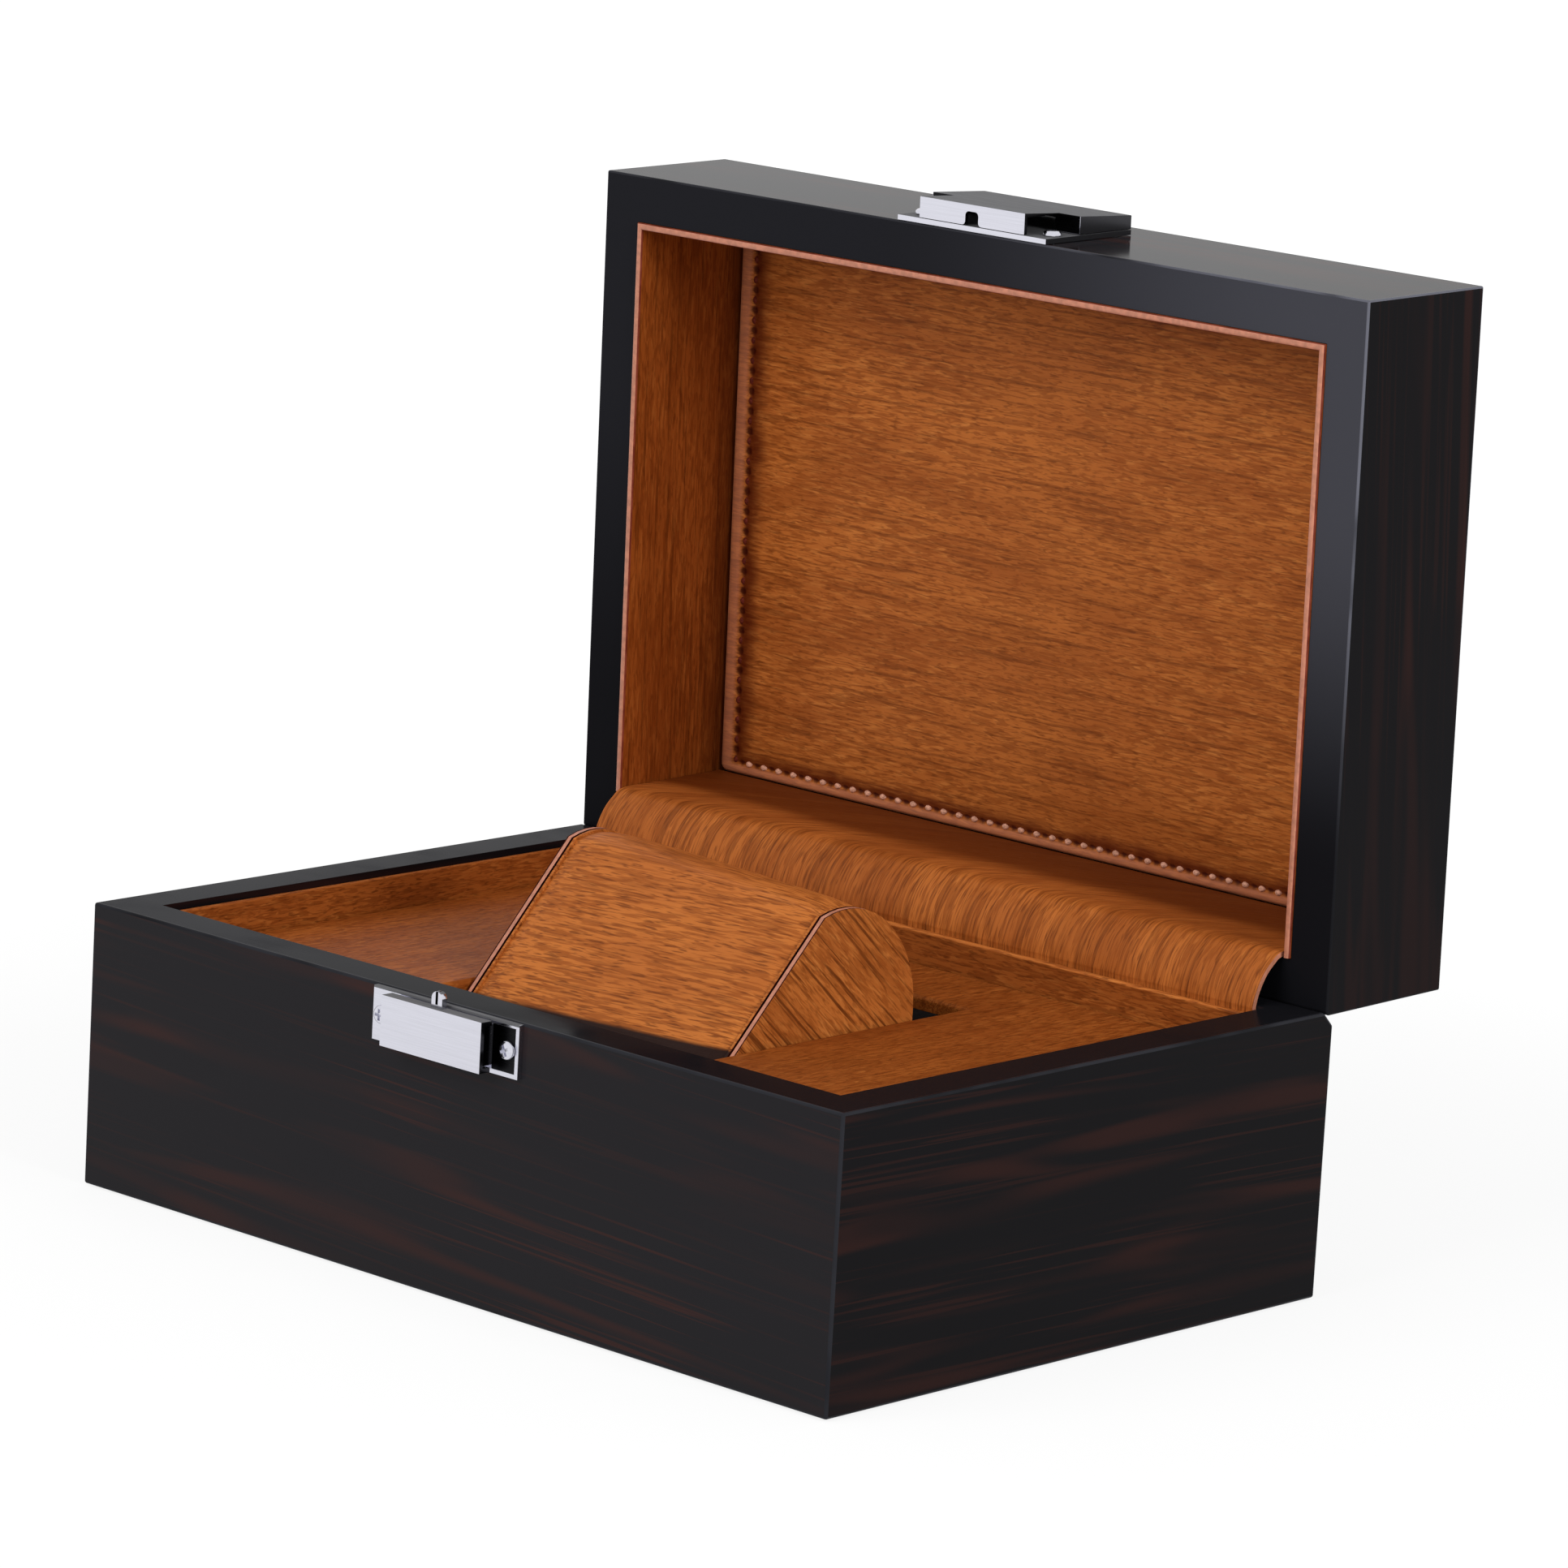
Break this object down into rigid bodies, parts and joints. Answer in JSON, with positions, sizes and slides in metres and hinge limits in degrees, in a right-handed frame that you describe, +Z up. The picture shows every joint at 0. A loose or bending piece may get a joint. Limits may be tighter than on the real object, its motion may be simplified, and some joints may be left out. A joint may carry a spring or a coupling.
{
  "type": "jewelry case",
  "caption": "Lacquered wooden jewelry case, lid open on a hinge, with a leather-covered tray, a removable bracelet pillow in a well and a push clasp.",
  "frame": {"origin": "middle of the underside of the base, on the felt", "axes": "+X to the case's right seen from its front, +Y to its back, +Z up"},
  "size_m": [0.18, 0.1576, 0.1796],
  "materials": {
    "veneer": "dark streaked veneer under gloss lacquer",
    "leather": "orange-brown with a printed wood grain, satin",
    "board": "raw fibreboard",
    "felt": "short black nap",
    "foam": "soft padding",
    "clasp": "polished",
    "spring_steel": "plain",
    "brass": "plain"
  },
  "bodies": {
    "base": {"base_felt_pad": "felt", "base_floor_panel": "board", "base_front_board": "veneer", "base_rear_board": "veneer", "base_left_board": "veneer", "base_right_board": "veneer", "base_front_liner": "leather", "base_rear_liner": "leather", "base_left_liner": "leather", "base_right_liner": "leather", "deck_board": "leather", "deck_rail_left": "board", "deck_rail_right": "board", "well_front_wall": "board", "well_rear_wall": "board", "well_left_wall": "board", "well_right_wall": "board", "well_floor_lining": "leather", "pillow_wrap": "leather", "pillow_core": "foam", "pillow_cheek_left": "leather", "pillow_cheek_right": "leather", "hinge_cover": "leather", "hinge_left_base_leaf": "brass", "hinge_left_pin": "spring_steel", "hinge_right_base_leaf": "brass", "hinge_right_pin": "spring_steel", "hinge_base_screw_1": "brass", "hinge_base_screw_2": "brass", "hinge_base_screw_3": "brass", "hinge_base_screw_4": "brass", "clasp_base_plate": "clasp", "clasp_spring_left": "spring_steel", "clasp_spring_right": "spring_steel", "clasp_base_screw_left": "clasp", "clasp_base_screw_right": "clasp"},
    "lid": {"lid_front_board": "veneer", "lid_rear_board": "veneer", "lid_left_board": "veneer", "lid_right_board": "veneer", "lid_top_panel": "veneer", "lid_front_liner": "leather", "lid_left_liner": "leather", "lid_right_liner": "leather", "lid_pad": "leather", "lid_pad_card": "board", "hinge_left_lid_leaf": "brass", "hinge_right_lid_leaf": "brass", "hinge_lid_screw_1": "brass", "hinge_lid_screw_2": "brass", "hinge_lid_screw_3": "brass", "hinge_lid_screw_4": "brass", "clasp_lid_plate": "clasp", "clasp_lid_hood": "clasp", "clasp_lid_screw_left": "clasp", "clasp_lid_screw_right": "clasp"},
    "clasp_button": {"clasp_push_cover": "clasp", "clasp_catch_pin": "clasp"}
  },
  "joints": [
    {"name": "lid_hinge", "type": "hinge", "parent": "base", "child": "lid", "pos_m": [0, 0.0605, 0.0522], "axis": [1, 0, 0], "range_deg": [0, 89], "deforming": ["hinge_cover"]},
    {"name": "clasp_push", "type": "slide", "parent": "base", "child": "clasp_button", "axis": [0, 1, 0], "range_m": [0, 0.0008], "stiffness_N_per_m": 2500, "springref_m": -0.0006, "deforming": ["clasp_spring_left", "clasp_spring_right"]}
  ]
}
